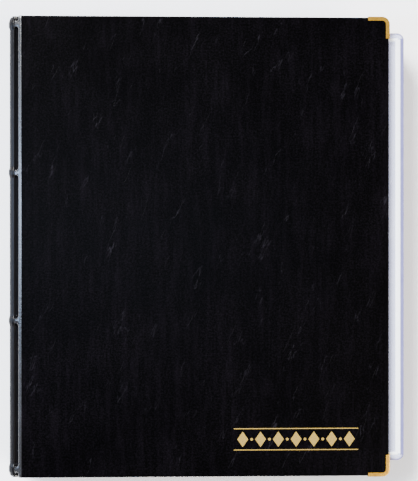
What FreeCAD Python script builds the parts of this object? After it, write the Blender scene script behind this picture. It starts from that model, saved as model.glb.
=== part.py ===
import FreeCAD, Part
import math
import os

from FreeCAD import Matrix, Vector

# Ring album for clear coin sheets of 202 x 252 mm, closed and lying on its back cover.
# Millimetres.  X runs from the spine to the fore-edge, Y up the page, Z up through the thickness.
# The sizes below are measured from the spine-side edge of the covers (X), the middle of the page (Y)
# and the surface the album lies on (Z).  Every solid is then moved along X by ALBUM_SHIFT, so that
# the origin is under the middle of the closed album.

# Covers
THICKNESS = 40.0            # closed album, back cover and front cover included
COVER_W = 216.5             # spine-side edge to fore-edge
COVER_H = 269.0             # along the page
COVER_R = 4.0               # rounding of the fore-edge corners in plan
SPINE_SIDE_R = 1.5          # rounding of the corners beside the spine
SKIN = 0.6                  # leatherette
BOARD = 2.0                 # greyboard
TURN_IN = 0.6               # leatherette folded over onto the inner face
TURN_IN_W = 4.2             # width of that fold that stays in sight
LINING = 0.5                # inner sheet, 0.1 mm lower than the fold around it
SLIT = 0.05                 # gap around a sheet that is laid in
COVER_T = SKIN + BOARD + TURN_IN
EDGE_R = 0.9                # rounding of the cover's outer edges

# Metal corners
CORNER_LEG = 12.4
CORNER_LIP = 2.4
CORNER_T = 0.5

# Foil ornament, low on the front cover
FOIL_X = 161.7
FOIL_Y = -112.6
FOIL_L = 73.0
FOIL_RULE_W = 0.5
FOIL_RULE_Y = 6.2
FOIL_SUNK = 0.12
FOIL_PROUD = 0.05
LOZENGES = 7
LOZENGE_L = 6.4
LOZENGE_H = 9.0
DOT_R = 0.8

# Spine and hinges
HINGE_X = -1.3              # both hinge lines lie in the grooves beside the covers
HINGE_INSET = 1.8           # below the outer face of each cover
HINGE_BEAD_R = 0.8
SPINE_OUT_X = -6.4          # crown of the rounded spine
SPINE_END_X = -3.1          # its outer face where the hinge strips begin
SPINE_HALF = 16.6           # half its height across the thickness
SPINE_LINING = 0.6
BAND_Y = (129.6, 43.2, -43.2, -129.6)
BAND_W = 3.0
BAND_PROUD = 0.8

# Ring mechanism, on the back cover
RING_X = 18.4
RING_Z = 18.7
RING_R = 13.2               # to the middle of the wire
WIRE_R = 1.5
RING_Y = (-100.0, -35.0, 35.0, 100.0)
RING_TIP_GAP = 0.1
RING_FOOT_DEG = -54.0
FOOT_R = 1.2
FOOT_END_Z = 4.0
PLATE_HALF_W = 14.1
PLATE_HALF_L = 117.0
PLATE_T = 0.8
PLATE_SIDE = 3.2
PLATE_CROWN_Z = 9.0
BLADE_PIVOT_X = 12.5
BLADE_PIVOT_Z = 5.0
BLADE_L = 12.2
BLADE_LIP = 0.6             # beyond the pivot line
BLADE_T = 1.0
BLADE_HALF_L = 114.0
BLADE_REST_DEG = 4.5        # each blade dips to the middle; open, it rises as far
SLOT_X = (5.7, 11.2)
SLOT_R = 2.1
RIVET_Y = (-68.0, 68.0)
RIVET_R = 2.2
RIVET_HEAD_R = 4.0
RIVET_HEAD_H = 0.8
RIVET_BACK_R = 5.0
WASHER_R = 4.6
WASHER_T = 0.5
RIVET_ROOM_R = 3.6          # notch in the blades around each rivet

# Levers at both ends of the mechanism
LEVER_Y = 119.8
LEVER_Z = 6.6
LEVER_HUB_R = 1.9
LEVER_T = 1.4
LEVER_HALF_W = 3.0
LEVER_KNEE = (3.0, 7.5)
LEVER_TIP = (8.5, 12.5)
THUMB_HALF_W = 6.0
THUMB_FROM_Y = 6.9
PIN_R = 0.8
PIN_HALF_L = 4.7
PIN_FIT = 0.05
EAR_X = 3.2
EAR_T = 1.0
EAR_TOP_Z = 8.6
EAR_END_Y = 122.0
EAR_OVERLAP = 1.0           # the ears start this far inside the plate's end

# Coin sheets
LEAVES = 10
LEAF_W = 202.0
LEAF_H = 252.0
LEAF_R = 4.0
FILM_T = 0.35
LEAF_LOW = -7.76            # lowest sheet's plane, from the ring centre
LEAF_HIGH = 1.84            # highest sheet's plane
LEAF_LOW_DEG = -1.6         # the sheets fan out, because their pockets are thicker than the punched
LEAF_HIGH_DEG = 4.0         # margin: the lowest sinks to the fore-edge and the highest rises
HOLE_R = 4.0
HOLE_INSET = 8.0            # hole centre from the sheet's inner edge
HOLE_OUTWARD = 1.0          # hole centre beyond the wire, so that the rings have room to open
POCKET_FROM = 17.0          # the pocket film starts this far from the inner edge

def leaf_plane(number):
    """Height of a sheet's plane from the ring centre; sheet 1 is on top."""
    return LEAF_HIGH + (number - 1) * (LEAF_LOW - LEAF_HIGH) / (LEAVES - 1)


def leaf_tilt(number):
    """Rise of a sheet towards the fore-edge, in radians."""
    return math.radians(LEAF_HIGH_DEG + (number - 1) * (LEAF_LOW_DEG - LEAF_HIGH_DEG) / (LEAVES - 1))


def leaf_hole(number):
    """Distance of a sheet's hole centres from the ring centre, along the sheet."""
    plane = leaf_plane(number)
    return math.sqrt(RING_R ** 2 - plane ** 2) + HOLE_OUTWARD


def leaf_reach(number):
    """How far a sheet's fore-edge reaches from the cover's spine-side edge."""
    edge = leaf_hole(number) - HOLE_INSET + LEAF_W
    tilt = leaf_tilt(number)
    lowest_corner = leaf_plane(number) - FILM_T if tilt > 0 else leaf_plane(number) + FILM_T
    return RING_X + edge * math.cos(tilt) - lowest_corner * math.sin(tilt)


ALBUM_LEFT = SPINE_OUT_X - BAND_PROUD
ALBUM_RIGHT = max(leaf_reach(number) for number in range(1, LEAVES + 1))
ALBUM_SHIFT = -(ALBUM_LEFT + ALBUM_RIGHT) / 2
SPINE_MID_Z = THICKNESS / 2
SPINE_SAGITTA = SPINE_END_X - SPINE_OUT_X
SPINE_R = (SPINE_HALF ** 2 + SPINE_SAGITTA ** 2) / (2 * SPINE_SAGITTA)
SPINE_CENTRE_X = SPINE_OUT_X + SPINE_R
SPINE_HALF_ANGLE = math.asin(SPINE_HALF / SPINE_R)


def box(x0, x1, y0, y1, z0, z1):
    """Box between two corners."""
    return Part.makeBox(x1 - x0, y1 - y0, z1 - z0, Vector(x0, y0, z0))


def rod(radius, start, end):
    """Round rod from one point to another."""
    along = Vector(*end) - Vector(*start)
    return Part.makeCylinder(radius, along.Length, Vector(*start), along)


def prism(points, along):
    """Prism on a polygon."""
    return Part.Face(Part.makePolygon([Vector(*p) for p in points + points[:1]])).extrude(Vector(*along))


def upright_edges(shape, x_side):
    """Edges along Z on the given side of the plan: +1 for the greatest X, -1 for the least."""
    bounds = shape.BoundBox
    wanted = bounds.XMax if x_side > 0 else bounds.XMin
    edges = []
    for edge in shape.Edges:
        first, last = edge.Vertexes[0].Point, edge.Vertexes[-1].Point
        runs_up = abs(first.z - last.z) > 1e-6 and abs(first.x - last.x) + abs(first.y - last.y) < 1e-6
        if runs_up and abs(first.x - wanted) < 1e-6:
            edges.append(edge)
    return edges


def plate(x0, x1, half_y, z0, z1, fore_r, spine_r=0.0):
    """Plate that is symmetrical in Y, with rounded corners in plan."""
    shape = box(x0, x1, -half_y, half_y, z0, z1)
    shape = shape.makeFillet(fore_r, upright_edges(shape, 1))
    if spine_r:
        shape = shape.makeFillet(spine_r, upright_edges(shape, -1))
    return shape


def mirrored_to_front(shape):
    """The same piece on the other cover: mirrored about the middle of the thickness."""
    return shape.mirror(Vector(0, 0, SPINE_MID_Z), Vector(0, 0, 1))


def other_end(shape):
    """The same piece at the other end of the page."""
    return shape.mirror(Vector(0, 0, 0), Vector(0, 1, 0))


# ---------------------------------------------------------------- covers

def metal_corner():
    """Channel bent round the upper fore-edge corner of the back cover, with a narrow lip each side."""
    x1, y1 = COVER_W, COVER_H / 2
    ends = box(x1 - CORNER_LEG, x1 + CORNER_T, y1 - CORNER_LEG, y1 + CORNER_T, 0, COVER_T)
    outer = plate(0, x1 + CORNER_T, y1 + CORNER_T, 0, COVER_T, COVER_R + CORNER_T)
    core = plate(0, x1, y1, CORNER_T, COVER_T - CORNER_T, COVER_R)
    window = plate(0, x1 - CORNER_LIP, y1 - CORNER_LIP, 0, COVER_T, COVER_R - 2)
    return ends.common(outer).cut(core).cut(window)


def cover_pieces(corner):
    """Board, leatherette and inner lining of the back cover, around its metal corners."""
    half_y = COVER_H / 2
    slab = plate(0, COVER_W, half_y, 0, COVER_T, COVER_R, SPINE_SIDE_R)
    bottom = [e for e in slab.Edges if e.BoundBox.ZMax < 1e-6]
    slab = slab.makeFillet(EDGE_R, bottom)
    board = plate(SKIN, COVER_W - SKIN, half_y - SKIN, SKIN, SKIN + BOARD, COVER_R - SKIN)
    window = plate(TURN_IN_W, COVER_W - TURN_IN_W, half_y - TURN_IN_W, SKIN + BOARD, COVER_T, 2.0, 2.0)
    inset = TURN_IN_W + SLIT
    top = SKIN + BOARD + LINING
    lining = plate(inset, COVER_W - inset, half_y - inset, SKIN + BOARD, top, 2.0, 2.0)
    skin = slab.cut(board).cut(window).cut(corner).cut(other_end(corner))
    return board, skin, lining


def foil_ornament():
    """Bookbinder's band: a row of lozenges and dots between two fine rules."""
    z0, z1 = THICKNESS - FOIL_SUNK, THICKNESS + FOIL_PROUD
    x0 = FOIL_X - FOIL_L / 2
    pieces = []
    for side in (-1, 1):
        y = FOIL_Y + side * FOIL_RULE_Y
        pieces.append(box(x0, x0 + FOIL_L, y - FOIL_RULE_W / 2, y + FOIL_RULE_W / 2, z0, z1))
    pitch = FOIL_L / LOZENGES
    for number in range(LOZENGES):
        x = x0 + (number + 0.5) * pitch
        half_l, half_h = LOZENGE_L / 2, LOZENGE_H / 2
        points = [(x - half_l, FOIL_Y, z0), (x, FOIL_Y - half_h, z0),
                  (x + half_l, FOIL_Y, z0), (x, FOIL_Y + half_h, z0)]
        pieces.append(prism(points, (0, 0, z1 - z0)))
        if number:
            between = x - pitch / 2
            pieces.append(rod(DOT_R, (between, FOIL_Y, z0), (between, FOIL_Y, z1)))
    return Part.makeCompound(pieces)


# ---------------------------------------------------------------- spine

def spine_layer(outer_depth, inner_depth, half_y, y_mid=0.0):
    """Curved strip of the rounded spine between two depths below its outer face."""
    def arc_points(depth):
        radius = SPINE_R - depth
        return [Vector(SPINE_CENTRE_X - radius * math.cos(a), y_mid - half_y,
                       SPINE_MID_Z + radius * math.sin(a))
                for a in (-SPINE_HALF_ANGLE, 0.0, SPINE_HALF_ANGLE)]
    outer, inner = arc_points(outer_depth), arc_points(inner_depth)
    edges = [Part.Arc(*outer).toShape(), Part.LineSegment(outer[2], inner[2]).toShape(),
             Part.Arc(*inner[::-1]).toShape(), Part.LineSegment(inner[0], outer[0]).toShape()]
    return Part.Face(Part.Wire(edges)).extrude(Vector(0, 2 * half_y, 0))


def hinge_strip():
    """Leatherette from the lower end of the spine to the groove, with a round bead on the hinge line."""
    half_y = COVER_H / 2
    inner_x = SPINE_CENTRE_X - (SPINE_R - SKIN) * math.cos(SPINE_HALF_ANGLE)
    inner_z = SPINE_MID_Z - (SPINE_R - SKIN) * math.sin(SPINE_HALF_ANGLE)
    outer_z = SPINE_MID_Z - SPINE_HALF
    hinge_z = HINGE_INSET
    profile = [(SPINE_END_X, outer_z), (SPINE_END_X - 0.05, hinge_z + 0.2),
               (HINGE_X - 1.2, hinge_z - 0.6), (HINGE_X - 0.2, hinge_z - 0.7),
               (HINGE_X, hinge_z), (HINGE_X - 0.5, hinge_z + 0.5), (inner_x, inner_z)]
    points = [(x, -half_y, z) for x, z in profile]
    bead = rod(HINGE_BEAD_R, (HINGE_X, -half_y, hinge_z), (HINGE_X, half_y, hinge_z))
    return prism(points, (0, 2 * half_y, 0)).fuse(bead).removeSplitter()


def spine_bands():
    """Four raised cords across the back of the spine."""
    bands = [spine_layer(-BAND_PROUD, 0.0, BAND_W / 2, y) for y in BAND_Y]
    return Part.makeCompound(bands)


# ---------------------------------------------------------------- ring mechanism

def rivets_and_washers():
    """Rivets that hold the ring mechanism on the back cover, and a washer under each inner head."""
    rivets, washers = [], []
    for y in RIVET_Y:
        def disc(radius, z0, z1, y=y):
            return rod(radius, (RING_X, y, z0), (RING_X, y, z1))
        washer_top = PLATE_CROWN_Z + WASHER_T
        shank = disc(RIVET_R, 0, washer_top)
        back_head = disc(RIVET_BACK_R, 0, SKIN)
        inner_head = disc(RIVET_HEAD_R, washer_top, washer_top + RIVET_HEAD_H)
        rim = [e for e in inner_head.Edges if e.BoundBox.ZMin > washer_top + RIVET_HEAD_H - 1e-6]
        rivets.append(shank.fuse(back_head).fuse(inner_head.makeFillet(0.6, rim)).removeSplitter())
        washers.append(disc(WASHER_R, PLATE_CROWN_Z - 0.4, washer_top).cut(disc(RIVET_R, 0, THICKNESS)))
    return Part.makeCompound(rivets), Part.makeCompound(washers)


def arch_section(inset):
    """Half section of the arched plate, as a face in the XZ plane, inset by a wall thickness."""
    base_z = SKIN + BOARD + LINING
    half_w = PLATE_HALF_W - inset
    side_z = base_z + PLATE_SIDE - inset * 0.5
    crown = PLATE_CROWN_Z - inset
    y = -PLATE_HALF_L
    left, right = Vector(RING_X - half_w, y, side_z), Vector(RING_X + half_w, y, side_z)
    low_left, low_right = Vector(left.x, y, base_z), Vector(right.x, y, base_z)
    edges = [Part.LineSegment(low_left, left).toShape(),
             Part.Arc(left, Vector(RING_X, y, crown), right).toShape(),
             Part.LineSegment(right, low_right).toShape(),
             Part.LineSegment(low_right, low_left).toShape()]
    return Part.Face(Part.Wire(edges))


def oblong(x0, x1, y, radius, z0, z1):
    """Upright block with round ends, used to cut a slot."""
    middle = box(x0 + radius, x1 - radius, y - radius, y + radius, z0, z1)
    for x in (x0 + radius, x1 - radius):
        middle = middle.fuse(rod(radius, (x, y, z0), (x, y, z1)))
    return middle


def rider_plate(pins, rivets, washers):
    """Arched steel plate over the blades, with a slot for each ring foot and ears for the levers."""
    run = Vector(0, 2 * PLATE_HALF_L, 0)
    shape = arch_section(0.0).extrude(run).cut(arch_section(PLATE_T).extrude(run))
    base_z = SKIN + BOARD + LINING
    for side in (-1, 1):
        ear_x = (RING_X + side * EAR_X, RING_X + side * (EAR_X + EAR_T))
        ear = box(min(ear_x), max(ear_x), PLATE_HALF_L - EAR_OVERLAP, EAR_END_Y, base_z, EAR_TOP_Z)
        shape = shape.fuse(ear).fuse(other_end(ear))
        slot_x = sorted(RING_X + side * x for x in SLOT_X)
        for y in RING_Y:
            shape = shape.cut(oblong(slot_x[0], slot_x[1], y, SLOT_R, base_z + BLADE_T, THICKNESS))
    for piece in (pins, rivets, washers):
        shape = shape.cut(piece)
    return shape.removeSplitter()


def half_rings():
    """Right-hand half rings: a bent wire and a foot that goes down through the blade."""
    rings = []
    foot_angle = math.radians(RING_FOOT_DEG)
    foot_x = RING_X + RING_R * math.cos(foot_angle)
    foot_z = RING_Z + RING_R * math.sin(foot_angle)
    keep = box(RING_X + RING_TIP_GAP, RING_X + 2 * RING_R, -THICKNESS, THICKNESS, 0, THICKNESS)
    for y in RING_Y:
        centre = Vector(RING_X, y, RING_Z)
        start = Vector(foot_x, y, foot_z)
        tangent = Vector(-math.sin(foot_angle), 0, math.cos(foot_angle))
        section = Part.Face(Part.Wire(Part.Circle(start, tangent, WIRE_R).toShape()))
        bent = section.revolve(centre, Vector(0, -1, 0), 90 - RING_FOOT_DEG)
        bent = bent.common(keep.translated(Vector(0, y, 0)))
        knee = Part.makeSphere(WIRE_R, start)
        foot = rod(FOOT_R, (foot_x, y, FOOT_END_Z), (foot_x, y, foot_z))
        rings.append(bent.fuse(knee).fuse(foot).removeSplitter())
    return rings


def blade(rings):
    """Right-hand blade: a long strip under the arched plate, hinged along its outer edge."""
    pivot = Vector(RING_X + BLADE_PIVOT_X, 0, BLADE_PIVOT_Z)
    shape = box(pivot.x - BLADE_L, pivot.x + BLADE_LIP, -BLADE_HALF_L, BLADE_HALF_L,
                pivot.z - BLADE_T / 2, pivot.z + BLADE_T / 2)
    shape.rotate(pivot, Vector(0, 1, 0), -BLADE_REST_DEG)
    for y in RIVET_Y:
        shape = shape.cut(rod(RIVET_ROOM_R, (RING_X, y, 0), (RING_X, y, THICKNESS)))
    for ring in rings:
        shape = shape.cut(ring)
    return shape


def opposite(shape):
    """The same piece on the spine side of the ring mechanism."""
    return shape.mirror(Vector(RING_X, 0, 0), Vector(1, 0, 0))


def lever():
    """Trigger at the head end: a hub on its pin, an arm that leans outwards and a thumb tab."""
    def bar(start, end, half_w):
        along = Vector(0, end[0] - start[0], end[1] - start[1])
        normal = Vector(0, -along.z, along.y).normalize() * (LEVER_T / 2)
        a = Vector(RING_X - half_w, LEVER_Y + start[0], LEVER_Z + start[1])
        corners = [a - normal, a - normal + along, a + normal + along, a + normal]
        return prism([tuple(p) for p in corners], (2 * half_w, 0, 0))
    x0, x1 = RING_X - LEVER_HALF_W, RING_X + LEVER_HALF_W
    hub = rod(LEVER_HUB_R, (x0, LEVER_Y, LEVER_Z), (x1, LEVER_Y, LEVER_Z))
    knee_y, knee_z = LEVER_KNEE
    elbow = rod(LEVER_T / 2, (x0, LEVER_Y + knee_y, LEVER_Z + knee_z),
                (x1, LEVER_Y + knee_y, LEVER_Z + knee_z))
    slope = (LEVER_TIP[1] - knee_z) / (LEVER_TIP[0] - knee_y)
    thumb_start = (THUMB_FROM_Y, knee_z + slope * (THUMB_FROM_Y - knee_y))
    shape = hub.fuse(bar((0.0, 0.0), LEVER_KNEE, LEVER_HALF_W)).fuse(elbow)
    shape = shape.fuse(bar(LEVER_KNEE, LEVER_TIP, LEVER_HALF_W))
    shape = shape.fuse(bar(thumb_start, LEVER_TIP, THUMB_HALF_W))
    bore = rod(PIN_R + PIN_FIT, (x0, LEVER_Y, LEVER_Z), (x1, LEVER_Y, LEVER_Z))
    return shape.cut(bore).removeSplitter()


def lever_pin():
    """Pin of the lever at the head end, held in the two ears."""
    return rod(PIN_R, (RING_X - PIN_HALF_L, LEVER_Y, LEVER_Z), (RING_X + PIN_HALF_L, LEVER_Y, LEVER_Z))


# ---------------------------------------------------------------- coin sheets

def leaf_films(number):
    """Base film with its ring holes, and the pocket film welded on top of it."""
    plane = leaf_plane(number)
    hole = leaf_hole(number)
    start, end = hole - HOLE_INSET, hole - HOLE_INSET + LEAF_W
    base = plate(start, end, LEAF_H / 2, plane - FILM_T, plane, LEAF_R, LEAF_R)
    for y in RING_Y:
        base = base.cut(rod(HOLE_R, (hole, y, plane - THICKNESS), (hole, y, plane + THICKNESS)))
    pockets = plate(start + POCKET_FROM, end, LEAF_H / 2, plane, plane + FILM_T, LEAF_R)
    place = Matrix()
    place.rotateY(-leaf_tilt(number))
    place.move(Vector(RING_X, 0, RING_Z))
    return base.transformGeometry(place), pockets.transformGeometry(place)


# ---------------------------------------------------------------- assembly

def album():
    """Every piece of the closed album, by node name."""
    back_corner = metal_corner()
    back_board, back_skin, back_lining = cover_pieces(back_corner)
    front_corner = mirrored_to_front(back_corner)
    foil = foil_ornament()
    rivets, washers = rivets_and_washers()
    pins = Part.makeCompound([lever_pin(), other_end(lever_pin())])
    rings = half_rings()
    right_blade = blade(rings)
    pieces = {
        "back_board": back_board.cut(rivets),
        "back_skin": back_skin.cut(rivets),
        "back_lining": back_lining.cut(rivets),
        "back_corner_top": back_corner,
        "back_corner_bottom": other_end(back_corner),
        "front_board": mirrored_to_front(back_board),
        "front_skin": mirrored_to_front(back_skin).cut(foil),
        "front_lining": mirrored_to_front(back_lining),
        "front_corner_top": front_corner,
        "front_corner_bottom": other_end(front_corner),
        "foil_ornament": foil,
        "spine_skin": spine_layer(0.0, SKIN, COVER_H / 2),
        "spine_board": spine_layer(SKIN, SKIN + BOARD, COVER_H / 2 - SKIN),
        "spine_lining": spine_layer(SKIN + BOARD, SKIN + BOARD + SPINE_LINING, COVER_H / 2 - SKIN),
        "spine_bands": spine_bands(),
        "back_hinge_strip": hinge_strip(),
        "front_hinge_strip": mirrored_to_front(hinge_strip()),
        "ring_rider_plate": rider_plate(pins, rivets, washers),
        "rivets": rivets,
        "rivet_washers": washers,
        "lever_pins": pins,
        "blade_right": right_blade,
        "blade_left": opposite(right_blade),
        "right_half_rings": Part.makeCompound(rings),
        "left_half_rings": Part.makeCompound([opposite(ring) for ring in rings]),
        "lever_top": lever(),
        "lever_bottom": other_end(lever()),
    }
    for number in range(1, LEAVES + 1):
        base, pockets = leaf_films(number)
        pieces[f"leaf_{number}_base_film"] = base
        pieces[f"leaf_{number}_pocket_film"] = pockets
    return pieces


os.makedirs("parts", exist_ok=True)
for node, shape in album().items():
    shape.translated(Vector(ALBUM_SHIFT, 0, 0)).exportStep(f"parts/{node}.step")
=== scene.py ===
"""Looks of the ring album: leatherette covers, rounded spine, ring mechanism and clear pocket sheets.

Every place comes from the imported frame, in metres.  Sizes are named in millimetres and turned into
metres by MM.  X runs from the spine to the fore-edge, Y up the page and Z from the back cover to
the front cover.
"""
import logging
import math
from collections.abc import Callable, Iterable, Mapping, Sequence
from dataclasses import dataclass, field
from enum import Enum

import bmesh
import bpy
from mathutils import Euler, Matrix, Vector


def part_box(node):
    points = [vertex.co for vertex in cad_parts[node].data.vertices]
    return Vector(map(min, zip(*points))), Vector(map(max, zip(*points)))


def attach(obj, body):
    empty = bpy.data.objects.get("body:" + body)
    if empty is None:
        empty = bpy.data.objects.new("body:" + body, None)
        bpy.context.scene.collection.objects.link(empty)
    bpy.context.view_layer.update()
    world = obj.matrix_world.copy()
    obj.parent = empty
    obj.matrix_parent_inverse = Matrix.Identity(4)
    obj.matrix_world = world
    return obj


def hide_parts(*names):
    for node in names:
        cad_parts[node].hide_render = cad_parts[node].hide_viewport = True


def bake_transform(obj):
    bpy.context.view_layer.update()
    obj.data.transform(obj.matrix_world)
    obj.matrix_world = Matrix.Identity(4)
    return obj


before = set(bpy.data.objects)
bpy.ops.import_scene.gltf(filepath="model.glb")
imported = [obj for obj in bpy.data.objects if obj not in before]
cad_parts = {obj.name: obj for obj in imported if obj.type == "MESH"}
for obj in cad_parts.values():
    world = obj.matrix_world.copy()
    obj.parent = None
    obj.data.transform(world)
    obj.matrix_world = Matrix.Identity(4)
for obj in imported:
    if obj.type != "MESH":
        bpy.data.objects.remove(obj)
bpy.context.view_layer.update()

MM = 0.001
SHARP_ANGLE = math.radians(42)
# Vertices nearer to each other than this, in mm, become one.
MERGE = 0.002
# Places nearer to each other than this, in metres, count as the same.
SAME = 1e-6
# A face stands upright where its normal's Z is below this.
UPRIGHT = 0.5
LOG = logging.getLogger("album")
Colour = tuple[float, float, float, float]
Socket = bpy.types.NodeSocket


class Side(Enum):
    """Which cover a piece belongs to."""

    FRONT = "front"
    BACK = "back"


class End(Enum):
    """Which end of the page a piece is at, with its direction along Y."""

    TOP = 1
    BOTTOM = -1


# ------------------------------------------------------------------ nodes and materials


def linear(hex_code: str) -> Colour:
    """Turns an sRGB hex colour into a linear one.

    Args:
        hex_code: six hex digits.

    Returns:
        Red, green, blue and an alpha of 1.
    """
    def channel(pair: str) -> float:
        """One channel's linear value, by the sRGB curve."""
        value = int(pair, 16) / 255
        return value / 12.92 if value <= 0.04045 else ((value + 0.055) / 1.055) ** 2.4

    red, green, blue = (channel(hex_code[i:i + 2]) for i in (0, 2, 4))
    return red, green, blue, 1.0


def add_node(tree: bpy.types.NodeTree, kind: str, inputs: Mapping[str | int, object] | None = None,
             **settings: object) -> bpy.types.Node:
    """Adds a node with its settings and links.

    Args:
        tree: the node tree.
        kind: the node's type name.
        inputs: a value or an output socket for each input, by name or number.
        settings: the node's own properties.

    Returns:
        The new node.
    """
    node = tree.nodes.new(kind)
    for name, value in settings.items():
        setattr(node, name, value)
    for key, value in (inputs or {}).items():
        if isinstance(value, Socket):
            tree.links.new(value, node.inputs[key])
        else:
            node.inputs[key].default_value = value
    return node


@dataclass(frozen=True)
class Finish:
    """A surface finish.  Subclasses add their own pattern in dress().

    Attributes:
        name: what the real material is.
        colour: sRGB hex colour.
        roughness: typical roughness.
        metallic: 1 on a metal.
        ior: index of refraction, left at the default on a metal.
        alpha: how much of the film is seen.
        specular: strength of the gloss, 0.5 on a closed smooth surface.
        cloud: size of the patches of uneven gloss, in mm.
    """

    name: str
    colour: str
    roughness: float
    metallic: float = 0.0
    ior: float = 1.5
    alpha: float = 1.0
    specular: float = 0.5
    cloud: float = 6.0

    def material(self) -> bpy.types.Material:
        """Makes the material, or takes the one made before.

        Returns:
            The material.
        """
        made = bpy.data.materials.get(self.name)
        if made:
            return made
        made = bpy.data.materials.new(self.name)
        made.use_nodes = True
        tree = made.node_tree
        tree.nodes.clear()
        shader = add_node(tree, "ShaderNodeBsdfPrincipled", {
            "Base Color": linear(self.colour), "Roughness": self.roughness,
            "Metallic": self.metallic, "IOR": self.ior, "Alpha": self.alpha,
            "Specular IOR Level": self.specular})
        place = add_node(tree, "ShaderNodeTexCoord").outputs["Object"]
        self.dress(tree, shader, place)
        add_node(tree, "ShaderNodeOutputMaterial", {"Surface": shader.outputs[0]})
        return made

    def dress(self, tree: bpy.types.NodeTree, shader: bpy.types.Node, place: Socket) -> None:
        """Adds the pattern of this finish; the plain one has a fine unevenness of gloss.

        Args:
            tree: the material's nodes.
            shader: the surface shader.
            place: Object coordinates.
        """
        noise = self.noise(tree, place, self.cloud, 4.0)
        self.vary_roughness(tree, shader, noise, 0.06)

    def noise(self, tree: bpy.types.NodeTree, place: Socket, size: float, detail: float,
              coarse: float = 0.5) -> Socket:
        """A cloudy pattern.

        Args:
            tree: the material's nodes.
            place: the coordinates that it follows.
            size: size of its largest patches, in mm.
            detail: how many finer layers it has.
            coarse: how strong the finer layers are.

        Returns:
            The pattern, about 0 to 1.
        """
        return add_node(tree, "ShaderNodeTexNoise", {
            "Vector": place, "Scale": 1 / (size * MM), "Detail": detail, "Roughness": coarse}).outputs[0]

    def spread(self, tree: bpy.types.NodeTree, pattern: Socket, window: tuple[float, float],
               reach: tuple[float, float] = (0.0, 1.0)) -> Socket:
        """Spreads a pattern over a range.

        Args:
            tree: the material's nodes.
            pattern: the pattern.
            window: its values at both ends of the range.
            reach: what those values become.

        Returns:
            The spread pattern.
        """
        return add_node(tree, "ShaderNodeMapRange", {
            "Value": pattern, 1: window[0], 2: window[1], 3: reach[0], 4: reach[1]}).outputs[0]

    def blend_colours(self, tree: bpy.types.NodeTree, amount: Socket, first: Socket | Colour,
                      second: Socket | Colour) -> Socket:
        """Mixes two colours.

        Args:
            tree: the material's nodes.
            amount: how much of the second colour there is.
            first: a colour or a socket.
            second: a colour or a socket.

        Returns:
            The mixed colour.
        """
        return add_node(tree, "ShaderNodeMix", {"Factor": amount, 6: first, 7: second},
                        data_type="RGBA").outputs[2]

    def raise_relief(self, tree: bpy.types.NodeTree, shader: bpy.types.Node, height: Socket, strength: float,
                     depth: float) -> None:
        """Adds a relief on top of the relief that the shader has.

        Args:
            tree: the material's nodes.
            shader: the surface shader.
            height: the pattern.
            strength: how much of it is felt.
            depth: its depth, in mm.
        """
        inputs = {"Height": height, "Strength": strength, "Distance": depth * MM}
        if shader.inputs["Normal"].is_linked:
            inputs["Normal"] = shader.inputs["Normal"].links[0].from_socket
        relief = add_node(tree, "ShaderNodeBump", inputs)
        tree.links.new(relief.outputs[0], shader.inputs["Normal"])

    def vary_roughness(self, tree: bpy.types.NodeTree, shader: bpy.types.Node, pattern: Socket,
                       spread: float) -> None:
        """Lets a 0 to 1 pattern move the roughness.

        Args:
            tree: the material's nodes.
            shader: the surface shader.
            pattern: the pattern.
            spread: how far it moves the roughness to either side.
        """
        reach = (max(0.02, self.roughness - spread), self.roughness + spread)
        tree.links.new(self.spread(tree, pattern, (0.0, 1.0), reach), shader.inputs["Roughness"])


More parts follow.
